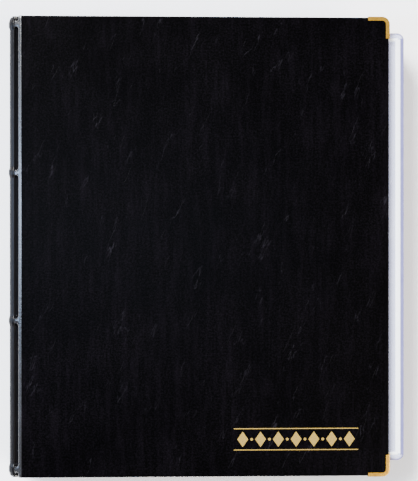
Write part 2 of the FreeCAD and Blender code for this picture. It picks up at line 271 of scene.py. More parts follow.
@dataclass(frozen=True)
class Leatherette(Finish):
    """PVC leatherette on a cotton back, embossed with a fine pebble grain and creased where it was turned.

    Attributes:
        light_colour: the tone that handling leaves on the high spots.
        crease_colour: stretched vinyl in a crease, which turns pale.
        grain: width of a pebble, a little coarser than the real 0.8 mm so that it shows.
        grain_depth: depth of the relief, in mm.
        speck: size of the rubbed specks.
        speck_window: the noise values that become no speck and a full one.
        streak: size of the faint calendering streaks, across and along the page.
        streak_window: the noise values that become no streak and a full one.
        shares: how much the specks and the streaks lighten the surface.
        blotch: size of the patches in which specks and streaks come and go.
        crease: usual distance between creases, across and along them.
        crease_width: how far from a crease's middle it fades, as a noise value.
        crease_lean_deg: how far the creases lean from the page's upright.
        crease_patch: size of the patches in which creases show, across and along them.
        crease_window: the noise values that become no patch and a full one.
    """

    light_colour: str = "110d13"
    crease_colour: str = "19171c"
    grain: float = 1.4
    grain_depth: float = 0.10
    speck: tuple[float, float] = (1.0, 1.0)
    speck_window: tuple[float, float] = (0.44, 0.72)
    streak: tuple[float, float] = (3.2, 26.0)
    streak_window: tuple[float, float] = (0.46, 0.78)
    shares: tuple[float, float] = (0.55, 0.35)
    blotch: float = 30.0
    crease: tuple[float, float] = (10.0, 58.0)
    crease_width: float = 0.011
    crease_lean_deg: float = 22.0
    crease_patch: tuple[float, float] = (8.0, 26.0)
    crease_window: tuple[float, float] = (0.55, 0.74)

    def dress(self, tree: bpy.types.NodeTree, shader: bpy.types.Node, place: Socket) -> None:
        """Pebble grain in the relief, specks and streaks in the black, and a few pale creases.

        Args:
            tree: the material's nodes.
            shader: the surface shader.
            place: Object coordinates.
        """
        pebble = add_node(tree, "ShaderNodeTexVoronoi", {
            "Vector": place, "Scale": 1 / (self.grain * MM), "Randomness": 1.0}, feature="SMOOTH_F1")
        speck = self.pattern(tree, place, self.speck, 0.0, self.speck_window)
        streak = self.pattern(tree, place, self.streak, 0.0, self.streak_window)
        blotch = self.noise(tree, place, self.blotch, 4.0, 0.6)
        specks = add_node(tree, "ShaderNodeMath", {0: speck, 1: self.shares[0]}, operation="MULTIPLY")
        both = add_node(tree, "ShaderNodeMath", {0: streak, 1: self.shares[1], 2: specks.outputs[0]},
                        operation="MULTIPLY_ADD")
        tone = add_node(tree, "ShaderNodeMath", {0: both.outputs[0], 1: blotch}, operation="MULTIPLY")
        body = self.blend_colours(tree, tone.outputs[0], linear(self.colour), linear(self.light_colour))
        crease = self.creases(tree, place)
        pale = self.blend_colours(tree, crease, body, linear(self.crease_colour))
        tree.links.new(pale, shader.inputs["Base Color"])
        self.vary_roughness(tree, shader, blotch, 0.08)
        self.raise_relief(tree, shader, pebble.outputs[0], 0.45, self.grain_depth)
        self.raise_relief(tree, shader, crease, 0.5, self.grain_depth)
        self.raise_relief(tree, shader, streak, 0.2, 1.2 * self.grain_depth)

    def pattern(self, tree: bpy.types.NodeTree, place: Socket, size: tuple[float, float], lean_deg: float,
                window: tuple[float, float]) -> Socket:
        """A noise stretched along the page, spread over 0 to 1.

        Args:
            tree: the material's nodes.
            place: Object coordinates.
            size: size across and along, in mm.
            lean_deg: how far it leans.
            window: the noise values that become 0 and 1.

        Returns:
            The pattern.
        """
        across, along = size
        turned = add_node(tree, "ShaderNodeMapping", {
            "Vector": place, "Rotation": (0.0, 0.0, math.radians(lean_deg))})
        stretched = add_node(tree, "ShaderNodeMapping", {
            "Vector": turned.outputs[0], "Scale": (1 / (across * MM), 1 / (along * MM), 1 / (across * MM))})
        noise = add_node(tree, "ShaderNodeTexNoise", {
            "Vector": stretched.outputs[0], "Scale": 1.0, "Detail": 4.0, "Roughness": 0.6})
        return self.spread(tree, noise.outputs[0], window)

    def creases(self, tree: bpy.types.NodeTree, place: Socket) -> Socket:
        """Thin wandering lines, where a stretched noise passes its middle, in a few patches.

        Args:
            tree: the material's nodes.
            place: Object coordinates.

        Returns:
            A factor, 1 in the middle of a crease.
        """
        wander = self.pattern(tree, place, self.crease, self.crease_lean_deg, (0.0, 1.0))
        off = add_node(tree, "ShaderNodeMath", {0: wander, 1: 0.5}, operation="SUBTRACT")
        away = add_node(tree, "ShaderNodeMath", {0: off.outputs[0]}, operation="ABSOLUTE")
        line = self.spread(tree, away.outputs[0], (0.0, self.crease_width), (1.0, 0.0))
        patch = self.pattern(tree, place, self.crease_patch, self.crease_lean_deg, self.crease_window)
        return add_node(tree, "ShaderNodeMath", {0: line, 1: patch}, operation="MULTIPLY").outputs[0]


@dataclass(frozen=True)
class Brass(Finish):
    """Drawn brass strip, lacquered: bright, with brown tarnish in patches and fine drawing marks.

    Attributes:
        tarnish: colour of the tarnish.
        tarnish_patch: size of its patches, in mm.
        tarnish_window: the noise values that become clean metal and full tarnish.
        tarnish_most: the most tarnish there is.
        mark: size of the drawing marks.
    """

    tarnish: str = "6e4318"
    tarnish_patch: float = 5.0
    tarnish_window: tuple[float, float] = (0.42, 0.74)
    tarnish_most: float = 0.85
    mark: float = 0.35

    def dress(self, tree: bpy.types.NodeTree, shader: bpy.types.Node, place: Socket) -> None:
        """Tarnish in the colour and gloss, drawing marks in the relief.

        Args:
            tree: the material's nodes.
            shader: the surface shader.
            place: Object coordinates.
        """
        patch = self.noise(tree, place, self.tarnish_patch, 5.0, 0.65)
        amount = self.spread(tree, patch, self.tarnish_window, (0.0, self.tarnish_most))
        mixed = self.blend_colours(tree, amount, linear(self.colour), linear(self.tarnish))
        tree.links.new(mixed, shader.inputs["Base Color"])
        self.vary_roughness(tree, shader, patch, 0.12)
        self.raise_relief(tree, shader, self.noise(tree, place, self.mark, 2.0), 0.2, 0.03)


@dataclass(frozen=True)
class Foil(Finish):
    """Hot-stamped metallic foil: satin gold, a little broken where the grain is deep.

    Attributes:
        worn: colour where the foil is thin.
        grain: size of the grain under it, in mm.
        thin_window: the noise values that become whole foil and thin foil.
        thin_most: how thin the foil gets.
    """

    worn: str = "6b5f38"
    grain: float = 0.9
    thin_window: tuple[float, float] = (0.55, 0.72)
    thin_most: float = 0.8

    def dress(self, tree: bpy.types.NodeTree, shader: bpy.types.Node, place: Socket) -> None:
        """Breaks the foil up with the grain under it.

        Args:
            tree: the material's nodes.
            shader: the surface shader.
            place: Object coordinates.
        """
        grain = self.noise(tree, place, self.grain, 4.0)
        thin = self.spread(tree, grain, self.thin_window, (0.0, self.thin_most))
        mixed = self.blend_colours(tree, thin, linear(self.colour), linear(self.worn))
        tree.links.new(mixed, shader.inputs["Base Color"])
        self.vary_roughness(tree, shader, grain, 0.1)
        self.raise_relief(tree, shader, grain, 0.5, 0.08)


@dataclass(frozen=True)
class PlatedSteel(Finish):
    """Rolled or drawn steel with a bright plating: fine marks along one axis.

    Attributes:
        mark: spacing of the marks, in mm.
        along: axis that the marks run along, as a scale for X, Y and Z.
        haze: size of the duller patches.
    """

    mark: float = 0.5
    along: tuple[float, float, float] = (1.0, 0.04, 1.0)
    haze: float = 14.0

    def dress(self, tree: bpy.types.NodeTree, shader: bpy.types.Node, place: Socket) -> None:
        """Duller patches in the gloss, rolling marks in the relief.

        Args:
            tree: the material's nodes.
            shader: the surface shader.
            place: Object coordinates.
        """
        drawn = add_node(tree, "ShaderNodeMapping", {"Vector": place, "Scale": self.along})
        self.vary_roughness(tree, shader, self.noise(tree, place, self.haze, 3.0), 0.07)
        self.raise_relief(tree, shader, self.noise(tree, drawn.outputs[0], self.mark, 3.0), 0.15, 0.02)


@dataclass(frozen=True)
class ClearFilm(Finish):
    """Calendered soft PVC: clear with a faint blue cast and a slow waviness from the rolls.

    Attributes:
        haze: colour of the cloudy patches.
        wave: distance between the waves of the film, in mm.
        wave_depth: how deep they are in the relief.
    """

    haze: str = "eef1fb"
    wave: float = 22.0
    wave_depth: float = 1.5

    def dress(self, tree: bpy.types.NodeTree, shader: bpy.types.Node, place: Socket) -> None:
        """Cloudy patches in the colour, waves in the relief.

        Args:
            tree: the material's nodes.
            shader: the surface shader.
            place: Object coordinates.
        """
        cloud = self.noise(tree, place, self.wave, 3.0, 0.6)
        mixed = self.blend_colours(tree, cloud, linear(self.colour), linear(self.haze))
        tree.links.new(mixed, shader.inputs["Base Color"])
        self.vary_roughness(tree, shader, cloud, 0.06)
        self.raise_relief(tree, shader, cloud, 0.3, self.wave_depth)


@dataclass(frozen=True)
class Board(Finish):
    """Grey paperboard: pressed waste fibre, speckled and dull.

    Attributes:
        fleck: colour of the flecks.
        fibre: size of a fleck, in mm.
    """

    fleck: str = "8f8a80"
    fibre: float = 1.4

    def dress(self, tree: bpy.types.NodeTree, shader: bpy.types.Node, place: Socket) -> None:
        """Fibre flecks in the colour and relief.

        Args:
            tree: the material's nodes.
            shader: the surface shader.
            place: Object coordinates.
        """
        fibre = self.noise(tree, place, self.fibre, 6.0, 0.7)
        mixed = self.blend_colours(tree, fibre, linear(self.colour), linear(self.fleck))
        tree.links.new(mixed, shader.inputs["Base Color"])
        self.raise_relief(tree, shader, fibre, 0.4, 0.1)


# Embossed vinyl: the grain scatters the gloss, which is set far below smooth vinyl's 0.5 to keep
# the black deep.
LEATHERETTE = Leatherette("PVC leatherette, pebble grain", "000000", 0.36, ior=1.5, specular=0.018)
# The same vinyl pulled round the spine: the grain is half gone, so it has a dull shine.
SPINE_VINYL = Leatherette("PVC leatherette, pulled round", "010102", 0.34, ior=1.5, specular=0.12,
                          grain=1.2)
# The same vinyl stretched over the hinges: the grain is pulled out, so it shines.
STRETCHED = Leatherette("PVC leatherette, stretched smooth", "020203", 0.24, ior=1.5, specular=0.85,
                        grain=1.1)
# Thin calendered sheet with a fine matt emboss.
LINING = Leatherette("PVC lining sheet, fine matt grain", "0b0b0e", 0.5, ior=1.5, light_colour="24242c",
                     crease_colour="1c1c22", grain=0.9, specular=0.3)
# Lacquered brass: warm and bright, brown where the lacquer has gone.
CORNER_BRASS = Brass("brass strip, lacquered", "dcaa3c", 0.28, metallic=1.0)
# Foil pressed into the grain: a satin gold, broken on the pebbles.
GOLD_FOIL = Foil("hot-stamped gold foil", "917838", 0.48, metallic=0.75)
# Nickel over drawn steel: bright and a little warm.
NICKEL = PlatedSteel("nickel-plated steel", "e2ded5", 0.16, metallic=1.0)
# Zinc over rolled strip: duller and bluish.
ZINC = PlatedSteel("zinc-plated steel strip", "b9bcbe", 0.34, metallic=1.0, mark=0.8)
# Soft clear film: glossy, a little milky in many layers.
FILM = ClearFilm("soft PVC film, clear", "c8d0f4", 0.18, ior=1.53, alpha=0.30, haze="e6eafc")
# Two films melted together by the press: milky and rounded, whitened further as a painted highlight.
WELD_WITH_PAINTED_HIGHLIGHT = ClearFilm("welded PVC seam, milky", "f2f9ff", 0.22, ior=1.53, alpha=0.90, wave=6.0, haze="f6fbff")
# Trimmed flange outside the seam, cut edges and hole rims: painted shade, darker and bluish for the stack
# seen below.
SHADED_CUT_EDGE = ClearFilm("trimmed edge of PVC film", "5f5e90", 0.25, ior=1.53, alpha=0.7, wave=9.0,
                     haze="7a79a8")
# Pressed waste paper: grey, matt and flecked.
GREYBOARD = Board("grey paperboard", "7a766e", 0.85)
# Uncoated studio paper: pale and matt.
FLOOR_PAPER = Finish("studio floor, pale paper", "f4f4f5", 0.9)


# ------------------------------------------------------------------ mesh tools


def finish_piece(name: str, bm: bmesh.types.BMesh, finishes: Sequence[Finish]) -> bpy.types.Object:
    """Turns a bmesh into an object at the origin, with its faces pointing outwards and smooth.

    Args:
        name: the piece's name.
        bm: the mesh, in metres; it is freed.
        finishes: one finish for each material slot.

    Returns:
        The object.
    """
    bmesh.ops.remove_doubles(bm, verts=bm.verts, dist=MERGE * MM)
    bmesh.ops.recalc_face_normals(bm, faces=bm.faces)
    if bm.calc_volume(signed=True) < 0:
        bmesh.ops.reverse_faces(bm, faces=bm.faces)
    for face in bm.faces:
        face.smooth = True
    mesh = bpy.data.meshes.new(name)
    bm.to_mesh(mesh)
    bm.free()
    for finish in finishes:
        mesh.materials.append(finish.material())
    mesh.set_sharp_from_angle(angle=SHARP_ANGLE)
    piece = bpy.data.objects.new(name, mesh)
    bpy.context.scene.collection.objects.link(piece)
    return piece


def soften(piece: bpy.types.Object, width: float, segments: int, angle: float) -> None:
    """Rounds a piece's sharp edges and keeps its large faces flat to the eye.

    Args:
        piece: the piece.
        width: width of the rounding, in mm.
        segments: steps across it.
        angle: edges that turn by more than this are rounded, in degrees.
    """
    bevel = piece.modifiers.new("rounded edges", "BEVEL")
    bevel.width = width * MM
    bevel.segments = segments
    bevel.limit_method = "ANGLE"
    bevel.angle_limit = math.radians(angle)
    level_shading(piece)


def level_shading(piece: bpy.types.Object) -> None:
    """Weights the normals by face area, so that large faces look flat beside rounded edges."""
    weighted = piece.modifiers.new("face-weighted normals", "WEIGHTED_NORMAL")
    weighted.keep_sharp = True


def settle(piece: bpy.types.Object, body: str, slot: str, *nodes: str) -> None:
    """Fixes a piece on its body, hides the solids it stands for and reports it.

    Args:
        piece: the piece.
        body: the body that carries it.
        slot: the material slot's name; passed on to label, which does not use it.
        nodes: the solids that it stands for.
    """
    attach(piece, body)
    label(piece, slot, *nodes)


def label(piece: bpy.types.Object, slot: str, *nodes: str) -> None:
    """Hides the solids that a piece stands for and reports the piece with them.

    Args:
        piece: the piece.
        slot: the material slot's name; not used.
        nodes: the solids that it stands for.
    """
    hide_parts(*nodes)
    LOG.info("%s: %d faces, stands for %s", piece.name, len(piece.data.polygons), ", ".join(nodes))


def block(bm: bmesh.types.BMesh, low: Vector, high: Vector) -> list[bmesh.types.BMVert]:
    """Adds a box.

    Args:
        bm: the mesh.
        low: its lowest corner.
        high: its highest corner.

    Returns:
        The box's vertices.
    """
    size = high - low
    place = Matrix.Translation((low + high) / 2) @ Matrix.Diagonal((*size, 1.0))
    return bmesh.ops.create_cube(bm, size=1.0, matrix=place)["verts"]


def edges_where(bm: bmesh.types.BMesh, wanted: Callable[[Vector, Vector], bool]) -> list[bmesh.types.BMEdge]:
    """Edges whose two ends pass a test."""
    return [edge for edge in bm.edges if wanted(edge.verts[0].co, edge.verts[1].co)]


def round_edges(bm: bmesh.types.BMesh, edges: list[bmesh.types.BMEdge], radius: float,
                segments: int) -> None:
    """Rounds edges by a radius in mm."""
    bmesh.ops.bevel(bm, geom=edges, offset=radius * MM, offset_type="OFFSET", segments=segments,
                    profile=0.5, affect="EDGES", material=-1, clamp_overlap=True)


def extrude_edges(bm: bmesh.types.BMesh, edges: list[bmesh.types.BMEdge],
                  ) -> tuple[list[bmesh.types.BMVert], list[bmesh.types.BMEdge]]:
    """Extrudes edges into faces that have no depth yet.

    Args:
        bm: the mesh.
        edges: the edges to extrude.

    Returns:
        The new vertices, still in the old places, and the new edges between them.
    """
    made = bmesh.ops.extrude_edge_only(bm, edges=edges)["geom"]
    verts = [item for item in made if isinstance(item, bmesh.types.BMVert)]
    reached = set(verts)
    ends = [item for item in made if isinstance(item, bmesh.types.BMEdge) and set(item.verts) <= reached]
    return verts, ends


def grid(bm: bmesh.types.BMesh, columns: int, rows: int,
         place: Callable[[float, float], Vector]) -> list[bmesh.types.BMVert]:
    """Adds a grid and lays it on a surface.

    Args:
        bm: the mesh.
        columns: faces along the first parameter.
        rows: faces along the second parameter.
        place: gives the point for both parameters, each from 0 to 1.

    Returns:
        The grid's vertices.
    """
    made = bmesh.ops.create_grid(bm, x_segments=columns, y_segments=rows, size=0.5)["verts"]
    for vert in made:
        vert.co = place(vert.co.x + 0.5, vert.co.y + 0.5)
    return made


def faces_of(verts: Iterable[bmesh.types.BMVert]) -> list[bmesh.types.BMFace]:
    """Faces that touch any of the vertices."""
    return list({face for vert in verts for face in vert.link_faces})


def smooth_curve(points: Sequence[tuple[float, float]], share: float) -> tuple[float, float]:
    """A point on a Catmull-Rom curve through flat points.

    Args:
        points: the points that the curve passes.
        share: 0 at the first point and 1 at the last.

    Returns:
        The point on the curve.
    """
    spans = len(points) - 1
    span = min(int(share * spans), spans - 1)
    t = share * spans - span
    p0, p1, p2, p3 = (Vector(points[min(max(span + step, 0), spans)]) for step in (-1, 0, 1, 2))
    value = 0.5 * (2 * p1 + (p2 - p0) * t + (2 * p0 - 5 * p1 + 4 * p2 - p3) * t ** 2
                   + (3 * p1 - p0 - 3 * p2 + p3) * t ** 3)
    return value.x, value.y


def lathe(bm: bmesh.types.BMesh, profile: Sequence[tuple[float, float]], centre: Vector, axis: Vector,
          steps: int = 32) -> None:
    """Spins a profile into a round piece.

    Args:
        bm: the mesh.
        profile: radius and height of each point, in mm, from one end to the other.
        centre: the foot of the axis, in metres.
        axis: direction of the axis.
        steps: steps round the circle.
    """
    turn = axis.to_track_quat("Z", "X").to_matrix()
    verts = [bm.verts.new(centre + turn @ Vector((radius * MM, 0, height * MM)))
             for radius, height in profile]
    edges = [bm.edges.new(pair) for pair in zip(verts, verts[1:])]
    bmesh.ops.spin(bm, geom=verts + edges, cent=centre, axis=axis, angle=math.tau, steps=steps,
                   use_merge=True)


# ------------------------------------------------------------------ covers


@dataclass
class Cover:
    """A cover board wrapped in leatherette, with brass corners on its fore-edge.

    Attributes:
        side: front or back.
        fore_r: rounding of the fore-edge corners, in mm.
        spine_r: rounding of the corners beside the spine.
        edge_r: rounding of the turned outer edge.
        inner_r: rounding of the turned inner edge.
        turn_in: width of the fold round the lining.
        sunk: how far the leatherette lies below the metal lips.
        window_sunk: how far the lining's window lies below the fold.
        window_slope: width of the slope round that window.
        fine_steps: segments of the corners, the outer edge and the inner edge.
        body: the body that carries the cover.
        low: lowest corner of its leatherette, from the frame.
        high: highest corner of its leatherette.
    """

    side: Side
    fore_r: float = 4.0
    spine_r: float = 1.5
    edge_r: float = 1.2
    inner_r: float = 0.5
    turn_in: float = 4.2
    sunk: float = 0.10
    window_sunk: float = 0.2
    window_slope: float = 0.35
    fine_steps: tuple[int, int, int] = (8, 5, 3)
    body: str = field(init=False)
    low: Vector = field(init=False)
    high: Vector = field(init=False)

    def __post_init__(self) -> None:
        """Reads the cover's place from the frame."""
        self.body = f"{self.side.value}_cover"
        self.low, self.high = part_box(f"{self.side.value}_skin")

    def build(self) -> None:
        """Makes the leatherette case and the metal corners, and dresses the solids inside."""
        self.case()
        for end in End:
            MetalCorner(self, end).build()
        dress_node(f"{self.side.value}_lining", LINING)
        dress_node(f"{self.side.value}_board", GREYBOARD)

    def case(self) -> None:
        """The leatherette, turned over every edge of the board."""
        low, high = self.low.copy(), self.high.copy()
        outer_up = self.side is Side.FRONT
        outward = 1 if outer_up else -1
        if outer_up:
            high.z -= self.sunk * MM
        else:
            low.z += self.sunk * MM
        outer_z, inner_z = (high.z, low.z) if outer_up else (low.z, high.z)
        bm = bmesh.new()
        block(bm, low, high)
        self.window(bm, inner_z, self.window_sunk * outward)
        corner_steps, outer_steps, inner_steps = self.fine_steps
        for x, radius in ((high.x, self.fore_r), (low.x, self.spine_r)):
            corners = edges_where(bm, lambda a, b, x=x: abs(a.x - x) + abs(b.x - x) < SAME
                                  and abs(a.z - b.z) > 100 * SAME)
            round_edges(bm, corners, radius, corner_steps)
        for z, radius, segments in ((outer_z, self.edge_r, outer_steps),
                                    (inner_z, self.inner_r, inner_steps)):
            level = edges_where(bm, lambda a, b, z=z: abs(a.z - z) + abs(b.z - z) < SAME)
            rim = [edge for edge in level if any(abs(face.normal.z) < UPRIGHT for face in edge.link_faces)]
            round_edges(bm, rim, radius, segments)
        piece = finish_piece(f"{self.side.value}_leatherette", bm, [LEATHERETTE])
        level_shading(piece)
        settle(piece, self.body, "leatherette", f"{self.side.value}_skin")

    def window(self, bm: bmesh.types.BMesh, level: float, sink: float) -> None:
        """Sinks the middle of the inner face, where the lining sheet lies, and leaves the turned border.

        Args:
            bm: the mesh, still a plain block.
            level: height of the inner face.
            sink: how far the middle moves along Z, in mm.
        """
        bmesh.ops.recalc_face_normals(bm, faces=bm.faces)
        middle = next(face for face in bm.faces if abs(face.calc_center_median().z - level) < SAME)
        for width in (self.turn_in, self.window_slope):
            bmesh.ops.inset_region(bm, faces=[middle], thickness=width * MM, use_even_offset=True)
        bmesh.ops.translate(bm, verts=middle.verts, vec=(0, 0, sink * MM))


@dataclass
class MetalCorner:
    """A brass channel bent round a fore-edge corner, with a narrow lip on each face.

    Attributes:
        cover: the cover that it clips.
        end: top or bottom of the page.
        leg: length of each leg, in mm, from the cover's corner.
        lip: width of each lip on the face.
        metal: thickness of the strip.
        fold_r: rounding of the two folds.
        bend_steps: steps round the cover's corner.
        fold_steps: steps round a fold.
        cut_r: rounding of the cut edges.
        cut_deg: edges that turn by more than this are cut ones.
    """

    cover: Cover
    end: End
    leg: float = 12.4
    lip: float = 1.9
    metal: float = 0.5
    fold_r: float = 0.5
    bend_steps: int = 10
    fold_steps: int = 4
    cut_r: float = 0.08
    cut_deg: float = 50.0

    def build(self) -> None:
        """Draws the strip's section along one leg, round the corner and along the other leg."""
        low, high, way = self.cover.low, self.cover.high, self.end.value
        corner = Vector((high.x, high.y if way > 0 else low.y, 0))
        turn = self.cover.fore_r * MM
        bm = bmesh.new()
        start_y = corner.y - way * self.leg * MM
        verts = [bm.verts.new((corner.x + out * MM, start_y, z)) for out, z in self.section(low.z, high.z)]
        edges = [bm.edges.new(pair) for pair in zip(verts, verts[1:])]
        straight = self.leg * MM - turn
        edges = self.extend(bm, edges, Vector((0, way * straight, 0)))
        spun = bmesh.ops.spin(bm, geom=edges + self.verts_of(edges), axis=(0, 0, 1),
                              angle=way * math.pi / 2, cent=corner - Vector((turn, way * turn, 0)),
                              steps=self.bend_steps)
        edges = [item for item in spun["geom_last"] if isinstance(item, bmesh.types.BMEdge)]
        self.extend(bm, edges, Vector((-straight, 0, 0)))
        name = f"{self.cover.side.value}_corner_{self.end.name.lower()}"
        piece = finish_piece(f"{name}_brass", bm, [CORNER_BRASS])
        self.thicken(piece)
        settle(piece, self.cover.body, "corner_brass", name)

    def section(self, low_z: float, high_z: float) -> list[tuple[float, float]]:
        """The strip's outer line: lip, rounded fold, wall, rounded fold and lip.

        Args:
            low_z: height of the cover's lower face, in metres.
            high_z: height of its upper face.

        Returns:
            Points as (mm outwards from the cover's edge, height in metres).
        """
        radius = self.fold_r
        points = [(-self.lip, high_z)]
        for step in range(self.fold_steps + 1):
            angle = math.pi / 2 * (1 - step / self.fold_steps)
            out = self.metal - radius + radius * math.cos(angle)
            points.append((out, high_z - (radius - radius * math.sin(angle)) * MM))
        middle = (low_z + high_z) / 2
        points += [(out, 2 * middle - z) for out, z in reversed(points)]
        return points

    @staticmethod
    def verts_of(edges: Iterable[bmesh.types.BMEdge]) -> list[bmesh.types.BMVert]:
        """Vertices of some edges, each once."""
        return list({vert for edge in edges for vert in edge.verts})

    def extend(self, bm: bmesh.types.BMesh, edges: list[bmesh.types.BMEdge],
               step: Vector) -> list[bmesh.types.BMEdge]:
        """Draws the strip on in a straight line.

        Args:
            bm: the mesh.
            edges: its end.
            step: from that end to the new one.

        Returns:
            The new end.
        """
        verts, ends = extrude_edges(bm, edges)
        bmesh.ops.translate(bm, verts=verts, vec=step)
        return ends

    def thicken(self, piece: bpy.types.Object) -> None:
        """Gives the strip its thickness, inwards, and takes the sharpness off its cut edges.

        Args:
            piece: the strip, which has no thickness yet.
        """
        mesh = piece.data
        inside = (self.cover.low + self.cover.high) / 2
        inside.y = 0.0
        wall = max(mesh.polygons, key=lambda face: face.center.x)
        if (wall.center - inside).dot(wall.normal) < 0:
            mesh.flip_normals()
        shell = piece.modifiers.new("strip thickness", "SOLIDIFY")
        shell.thickness = self.metal * MM
        shell.offset = -1.0
        shell.use_even_offset = True
        soften(piece, self.cut_r, 2, self.cut_deg)


def dress_node(node: str, finish: Finish) -> None:
    """Gives a solid of the frame its material.

    Args:
        node: the solid's name.
        finish: its finish.
    """
    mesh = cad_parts[node].data
    mesh.materials.clear()
    mesh.materials.append(finish.material())
    LOG.info("%s: %s", node, finish.name)


# ------------------------------------------------------------------ spine and hinges


@dataclass
class Spine:
    """Rounded spine in leatherette with four raised bands, and the two hinge grooves.

    Attributes:
        crown: the outer line from one groove to the middle of the back, as (mm from the covers'
            spine-side edge, mm below the front cover's face); the other half mirrors it.
        depth: leatherette and board together, at the middle.
        groove: the hinge's outer line, from the spine's shoulder through the groove onto the cover.
        grain_from: where the hinge's leatherette is no longer stretched and keeps its grain.
        bridge: how far below the cover's face a band crosses the groove.
        sheet: thickness of the hinge's leatherette.
        bands: places of the raised bands along the page.
        band_w: width of a band at half its height.
        band_h: height of a band.
        end_r: rounding of the hinges at head and tail, as on the covers.
        back_end_r: rounding of the back at head and tail.
        rows: faces along the page.
        row_ease: how much closer together the rows stand near head and tail.
        columns: faces round the back.
        hinge_columns: faces across a hinge.
        thick: the closed album between the covers' outer faces.
        inner_curve: how much deeper the back is beside the shoulders than at the middle.
        inner_share: height of the back's inner face, as a share of the spine's.
        tangent_step: share of the line to either side that gives its direction.
        back_share: share of the line to either side of the middle that faces away from the pages.
        band_rise: a band's flank, as a start value and its fall over one band width.
        bridge_dip: how much deeper a band crosses the groove beside the spine.
        bend: two places across a hinge, from the covers' spine-side edge; hinge() turns them into points
            that nothing uses.
        low: lowest corner of the spine, from the frame.
        high: highest corner of the spine.
        edge_x: the covers' spine-side edge.
    """

    crown: tuple[tuple[float, float], ...] = (
        (-2.2, 3.6), (-2.4, 2.85), (-2.9, 2.4), (-3.65, 2.65), (-4.4, 3.35), (-5.2, 4.15), (-5.65, 5.1),
        (-5.8, 6.8), (-6.05, 11.0), (-6.35, 20.0))
    depth: float = 2.7
    groove: tuple[tuple[float, float], ...] = (
        (-2.4, 3.1), (-2.1, 3.8), (-1.55, 4.0), (-1.0, 3.3), (-0.55, 2.0), (-0.2, 1.05), (0.3, 0.4),
        (0.95, 0.1), (1.7, 0.03), (2.5, 0.07))
    grain_from: float = 1.75
    bridge: float = 0.35
    sheet: float = 0.45
    bands: tuple[float, ...] = (129.6, 43.2, -43.2, -129.6)
    band_w: float = 3.0
    band_h: float = 0.55
    end_r: float = 1.2
    back_end_r: float = 2.3
    rows: int = 359
    row_ease: float = 0.09
    columns: int = 52
    hinge_columns: int = 36
    thick: float = 40.0
    inner_curve: float = 3.0
    inner_share: float = 0.96
    tangent_step: float = 0.01
    back_share: float = 0.3
    band_rise: tuple[float, float] = (1.55, 1.5)
    bridge_dip: float = 1.2
    bend: tuple[float, float] = (-2.4, -0.1)
    low: Vector = field(init=False)
    high: Vector = field(init=False)
    edge_x: float = field(init=False)

    def __post_init__(self) -> None:
        """Reads the spine's place from the frame."""
        self.low, self.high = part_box("spine_skin")
        self.edge_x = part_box("front_skin")[0].x

    def band_at(self, y: float) -> float:
        """How much of a raised band there is at a place along the page.

        Args:
            y: the place, in metres.

        Returns:
            0 between the bands and 1 on a band.
        """
        nearest = min(abs(y / MM - band) for band in self.bands)
        start, fall = self.band_rise
        edge = max(0.0, min(1.0, start - nearest / self.band_w * fall))
        return edge * edge * (3 - 2 * edge)

    def end_drop(self, y: float, radius: float) -> float:
        """How far the surface is rounded off near head and tail.

        Args:
            y: a place along the page, in metres.
            radius: radius of the rounding, in mm.

        Returns:
            How far the surface drops there, in mm.
        """
        left = min(y - self.low.y, self.high.y - y) / MM
        rest = max(0.0, radius - left)
        return radius - math.sqrt(max(0.0, radius ** 2 - rest ** 2))

    def build(self) -> None:
        """Makes the rounded back, its lining and the two hinges."""
        self.back()
        for side in Side:
            self.hinge(side)
        dress_node("spine_lining", LINING)
        dress_node("spine_board", GREYBOARD)

    def row_y(self, share: float) -> float:
        """Place of a row along the page, closer together near head and tail."""
        eased = share - self.row_ease * math.sin(math.tau * share) / math.tau * 2
        return self.low.y + eased * (self.high.y - self.low.y)

    def back(self) -> None:
        """The rounded back with its shoulders and bands, turned over the board at head and tail."""
        front_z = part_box("front_skin")[1].z
        middle = (self.low.z + self.high.z) / 2
        line = list(self.crown) + [(x, self.thick - depth) for x, depth in reversed(self.crown[:-1])]

        def outer(share: float) -> Vector:
            """A point of the back's outer line, at Y 0."""
            x, depth = smooth_curve(line, share)
            return Vector((self.edge_x + x * MM, 0, front_z - depth * MM))

        def place(share_round: float, share_along: float) -> Vector:
            """A point of the back's outer face, with the bands and the rounded ends.

            Args:
                share_round: place round the back, from 0 to 1.
                share_along: place along the page, from 0 to 1.

            Returns:
                The point, in metres.
            """
            y = self.row_y(share_along)
            step = self.tangent_step
            tangent = outer(min(1.0, share_round + step)) - outer(max(0.0, share_round - step))
            normal = Vector((tangent.z, 0, -tangent.x)).normalized()
            if normal.x > 0 and abs(share_round - 0.5) < self.back_share:
                normal = -normal
            lift = self.band_h * self.band_at(y) - self.end_drop(y, self.back_end_r)
            return outer(share_round) + Vector((0, y, 0)) + normal * lift * MM

        bm = bmesh.new()
        verts = grid(bm, self.columns, self.rows, place)
        inner = bmesh.ops.extrude_face_region(bm, geom=faces_of(verts), use_keep_orig=True)["geom"]
        half = (self.high.z - self.low.z) / 2
        for vert in (item for item in inner if isinstance(item, bmesh.types.BMVert)):
            rise = max(-1.0, min(1.0, (vert.co.z - middle) / half))
            end_x = self.low.x + (self.depth + self.inner_curve * rise * rise) * MM
            vert.co = Vector((end_x, vert.co.y, middle + rise * half * self.inner_share))
        piece = finish_piece("spine_leatherette", bm, [SPINE_VINYL])
        settle(piece, "spine", "leatherette", "spine_skin", "spine_bands")

    def hinge(self, side: Side) -> None:
        """Leatherette from the spine's shoulder, through the groove, onto a cover.

        Args:
            side: the cover that it leads to.
        """
        cover_low, cover_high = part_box(f"{side.value}_skin")
        outer = cover_high.z if side is Side.FRONT else cover_low.z
        down = -1 if side is Side.FRONT else 1

